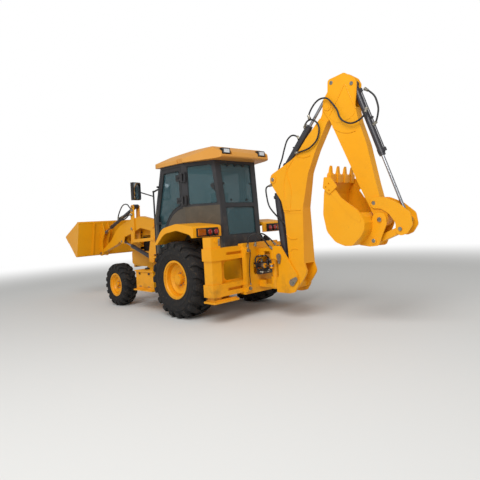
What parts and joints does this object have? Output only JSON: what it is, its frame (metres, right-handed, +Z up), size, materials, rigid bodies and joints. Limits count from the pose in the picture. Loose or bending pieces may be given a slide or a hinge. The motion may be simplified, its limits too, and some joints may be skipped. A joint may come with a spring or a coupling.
{
  "type": "backhoe loader",
  "caption": "Backhoe loader with a glazed cab, a self-levelling loader bucket raised and rolled back, and a side-shift backhoe folded up behind the cab.",
  "frame": {"origin": "on the ground, on the middle plane, midway between the foremost and rearmost points as parked", "axes": "+X to the front of the machine, +Y to its left, +Z up"},
  "size_m": [7.8964, 2.3182, 3.5223],
  "materials": {
    "paint": "semi-gloss yellow paint, worn and dusty",
    "cab_paint": "satin dark grey paint",
    "roof": "moulded, a little paler than the paint",
    "tyre": "dusty rubber",
    "glass": "green-tinted safety glass",
    "cast": "dark painted castings",
    "plastic": "grained black plastic",
    "seat": "woven seat cover",
    "lamp": "clear, amber and red lenses",
    "cylinder": "dark paint on the hydraulic cylinders",
    "chrome": "hard chrome on rods, bright steel on pins"
  },
  "bodies": {
    "root": {"chassis_frame": "paint", "loader_towers": "paint", "engine_block": "cast", "hood": "paint", "front_grille": "plastic", "rear_axle": "cast", "front_axle": "cast", "cab_frame": "cab_paint", "cab_roof": "roof", "cab_glass": "glass", "glass_fittings": "plastic", "rear_fenders": "paint", "side_boxes": "paint", "lamps": "lamp", "lamp_housings": "plastic", "cab_interior": "plastic", "seat_cushions": "seat", "mirrors": "plastic", "rear_frame": "paint"},
    "rear_wheel_left": {"tyre_rear_left": "tyre", "rim_rear_left": "paint"},
    "knuckle_left": {"knuckle_left": "cast"},
    "front_wheel_left": {"tyre_front_left": "tyre", "rim_front_left": "paint"},
    "door_left": {"door_left": "cab_paint", "door_glass_left": "glass"},
    "stabilizer_left": {"stabilizer_left": "paint"},
    "swing_rod_left": {"swing_rod_left": "chrome"},
    "rear_wheel_right": {"tyre_rear_right": "tyre", "rim_rear_right": "paint"},
    "knuckle_right": {"knuckle_right": "cast"},
    "front_wheel_right": {"tyre_front_right": "tyre", "rim_front_right": "paint"},
    "door_right": {"door_right": "cab_paint", "door_glass_right": "glass"},
    "stabilizer_right": {"stabilizer_right": "paint"},
    "swing_rod_right": {"swing_rod_right": "chrome"},
    "loader_arms": {"loader_arms": "paint"},
    "lift_barrels": {"lift_barrels": "cylinder"},
    "lift_rods": {"lift_rods": "chrome"},
    "tilt_levers": {"tilt_levers": "paint"},
    "lever_links": {"lever_links": "paint"},
    "tilt_barrels": {"tilt_barrels": "cylinder"},
    "tilt_rods": {"tilt_rods": "chrome"},
    "loader_pins": {"loader_pins": "chrome"},
    "loader_bucket": {"loader_bucket": "paint"},
    "carriage": {"carriage": "paint"},
    "swing_post": {"swing_post": "paint"},
    "boom": {"boom": "paint"},
    "boom_barrel": {"boom_barrel": "cylinder"},
    "boom_rod": {"boom_rod": "chrome"},
    "dipper": {"dipper": "paint"},
    "dipper_barrel": {"dipper_barrel": "cylinder"},
    "dipper_rod": {"dipper_rod": "chrome"},
    "bucket_barrel": {"bucket_barrel": "cylinder"},
    "bucket_rod": {"bucket_rod": "chrome"},
    "guide_link": {"guide_link": "paint"},
    "bucket_link": {"bucket_link": "paint"},
    "hoe_bucket": {"hoe_bucket": "paint"}
  },
  "joints": [
    {"name": "rear_wheel_left_spin", "type": "hinge", "parent": "root", "child": "rear_wheel_left", "pos_m": [-0.2005, 0.85, 0.648], "axis": [0, 1, 0], "continuous": true},
    {"name": "steer_left", "type": "hinge", "parent": "root", "child": "knuckle_left", "pos_m": [1.9795, 0.68, 0.427], "axis": [0, 0, 1], "range_deg": [-35, 35]},
    {"name": "front_wheel_left_spin", "type": "hinge", "parent": "knuckle_left", "child": "front_wheel_left", "pos_m": [1.9795, 0.85, 0.427], "axis": [0, 1, 0], "continuous": true},
    {"name": "rear_wheel_right_spin", "type": "hinge", "parent": "root", "child": "rear_wheel_right", "pos_m": [-0.2005, -0.85, 0.648], "axis": [0, 1, 0], "continuous": true},
    {"name": "steer_right", "type": "hinge", "parent": "root", "child": "knuckle_right", "pos_m": [1.9795, -0.68, 0.427], "axis": [0, 0, 1], "range_deg": [-35, 35]},
    {"name": "front_wheel_right_spin", "type": "hinge", "parent": "knuckle_right", "child": "front_wheel_right", "pos_m": [1.9795, -0.85, 0.427], "axis": [0, 1, 0], "continuous": true},
    {"name": "door_left_swing", "type": "hinge", "parent": "root", "child": "door_left", "pos_m": [-0.1785, 0.776, 1.8], "axis": [0, 0, 1], "range_deg": [0, 80]},
    {"name": "door_right_swing", "type": "hinge", "parent": "root", "child": "door_right", "pos_m": [-0.1785, -0.776, 1.8], "axis": [0, 0, -1], "range_deg": [0, 80]},
    {"name": "loader_lift", "type": "hinge", "parent": "root", "child": "loader_arms", "pos_m": [1.0495, 0, 1.59], "axis": [0, -1, 0], "range_deg": [-22, 58]},
    {"name": "lift_barrel_swing", "type": "hinge", "parent": "root", "child": "lift_barrels", "pos_m": [1.1995, 0, 0.915], "axis": [0, -1, 0], "range_deg": [-18.04, 47.56]},
    {"name": "lift_rod_slide", "type": "slide", "parent": "lift_barrels", "child": "lift_rods", "axis": [0.9515, 0, 0.3076], "range_m": [-0.212, 0.557]},
    {"name": "lever_swing", "type": "hinge", "parent": "loader_arms", "child": "tilt_levers", "pos_m": [1.8595, 0, 1.55], "axis": [0, -1, 0], "range_deg": [-58, 22]},
    {"name": "lever_link_swing", "type": "hinge", "parent": "root", "child": "lever_links", "pos_m": [1.0645, 0, 1.33], "axis": [0, -1, 0], "range_deg": [-22, 58]},
    {"name": "loader_pin_turn", "type": "hinge", "parent": "loader_arms", "child": "loader_pins", "pos_m": [3.2995, 0, 1.025], "axis": [0, -1, 0], "range_deg": [-58, 22]},
    {"name": "tilt_barrel_swing", "type": "hinge", "parent": "tilt_levers", "child": "tilt_barrels", "pos_m": [1.8095, 0, 2.01], "axis": [0, -1, 0], "range_deg": [-22.31, 58.81]},
    {"name": "loader_dump", "type": "hinge", "parent": "loader_pins", "child": "loader_bucket", "pos_m": [3.2995, 0, 1.025], "axis": [0, 1, 0], "range_deg": [-2, 86]},
    {"name": "tilt_rod_slide", "type": "slide", "parent": "tilt_barrels", "child": "tilt_rods", "axis": [0.9391, 0, -0.3437], "range_m": [-0.016, 0.676]},
    {"name": "stabilizer_left_drop", "type": "slide", "parent": "root", "child": "stabilizer_left", "axis": [0, 0, -1], "range_m": [0, 0.45]},
    {"name": "stabilizer_right_drop", "type": "slide", "parent": "root", "child": "stabilizer_right", "axis": [0, 0, -1], "range_m": [0, 0.45]},
    {"name": "side_shift", "type": "slide", "parent": "root", "child": "carriage", "axis": [0, 1, 0], "range_m": [-0.45, 0.35]},
    {"name": "swing", "type": "hinge", "parent": "carriage", "child": "swing_post", "pos_m": [-1.6005, 0.05, 0.7], "axis": [0, 0, 1], "range_deg": [-90, 90]},
    {"name": "swing_rod_left_slide", "type": "slide", "parent": "carriage", "child": "swing_rod_left", "axis": [-1, 0, 0], "range_m": [-0.095, 0.095]},
    {"name": "swing_rod_right_slide", "type": "slide", "parent": "carriage", "child": "swing_rod_right", "axis": [-1, 0, 0], "range_m": [-0.095, 0.095]},
    {"name": "boom_swing", "type": "hinge", "parent": "swing_post", "child": "boom", "pos_m": [-2.0705, 0.05, 0.598], "axis": [0, -1, 0], "range_deg": [0, 115]},
    {"name": "boom_barrel_swing", "type": "hinge", "parent": "swing_post", "child": "boom_barrel", "pos_m": [-1.8305, 0.05, 0.99], "axis": [0, -1, 0], "range_deg": [0, 119.6]},
    {"name": "boom_rod_slide", "type": "slide", "parent": "boom_barrel", "child": "boom_rod", "axis": [0.0824, 0, 0.9966], "range_m": [0, 0.776]},
    {"name": "dipper_swing", "type": "hinge", "parent": "boom", "child": "dipper", "pos_m": [-2.8275, 0.05, 3.12], "axis": [0, 1, 0], "range_deg": [0, 112]},
    {"name": "dipper_barrel_swing", "type": "hinge", "parent": "boom", "child": "dipper_barrel", "pos_m": [-1.8805, 0.05, 2.278], "axis": [0, 1, 0], "range_deg": [0, 6]},
    {"name": "dipper_rod_slide", "type": "slide", "parent": "dipper_barrel", "child": "dipper_rod", "axis": [-0.6649, 0, 0.7469], "range_m": [-0.54, 0]},
    {"name": "bucket_curl", "type": "hinge", "parent": "dipper", "child": "hoe_bucket", "pos_m": [-3.5395, 0.05, 1.486], "axis": [0, 1, 0], "range_deg": [0, 160]},
    {"name": "guide_link_swing", "type": "hinge", "parent": "dipper", "child": "guide_link", "pos_m": [-3.4495, 0.05, 1.704], "axis": [0, 1, 0], "range_deg": [0, 97]},
    {"name": "bucket_link_swing", "type": "hinge", "parent": "guide_link", "child": "bucket_link", "pos_m": [-3.8005, 0.05, 1.357], "axis": [0, 1, 0], "range_deg": [-16.5, 0]},
    {"name": "bucket_barrel_swing", "type": "hinge", "parent": "dipper", "child": "bucket_barrel", "pos_m": [-3.2325, 0.05, 3.344], "axis": [0, 1, 0], "range_deg": [0, 4.2]},
    {"name": "bucket_rod_slide", "type": "slide", "parent": "bucket_barrel", "child": "bucket_rod", "axis": [-0.3221, 0, -0.9467], "range_m": [-0.74, 0]}
  ],
  "couplings": [
    {"joint": "steer_right", "follows": "steer_left", "ratio": 1},
    {"joint": "lift_barrel_swing", "follows": "loader_lift", "ratio": 0.82},
    {"joint": "lift_rod_slide", "follows": "loader_lift", "m_per_rad": 0.55},
    {"joint": "lever_swing", "follows": "loader_lift", "ratio": -1},
    {"joint": "lever_link_swing", "follows": "loader_lift", "ratio": 1},
    {"joint": "loader_pin_turn", "follows": "loader_lift", "ratio": -1},
    {"joint": "tilt_barrel_swing", "follows": "loader_lift", "ratio": 1.014},
    {"joint": "tilt_rod_slide", "follows": "loader_dump", "m_per_rad": 0.45},
    {"joint": "swing_rod_left_slide", "follows": "swing", "m_per_rad": 0.060479},
    {"joint": "swing_rod_right_slide", "follows": "swing", "m_per_rad": -0.060479},
    {"joint": "boom_barrel_swing", "follows": "boom_swing", "ratio": 1.04},
    {"joint": "boom_rod_slide", "follows": "boom_swing", "m_per_rad": 0.386},
    {"joint": "dipper_barrel_swing", "follows": "dipper_swing", "ratio": 0.05},
    {"joint": "dipper_rod_slide", "follows": "dipper_swing", "m_per_rad": -0.274},
    {"joint": "guide_link_swing", "follows": "bucket_curl", "ratio": 0.6},
    {"joint": "bucket_link_swing", "follows": "bucket_curl", "ratio": -0.1},
    {"joint": "bucket_barrel_swing", "follows": "bucket_curl", "ratio": 0.025},
    {"joint": "bucket_rod_slide", "follows": "bucket_curl", "m_per_rad": -0.262}
  ]
}
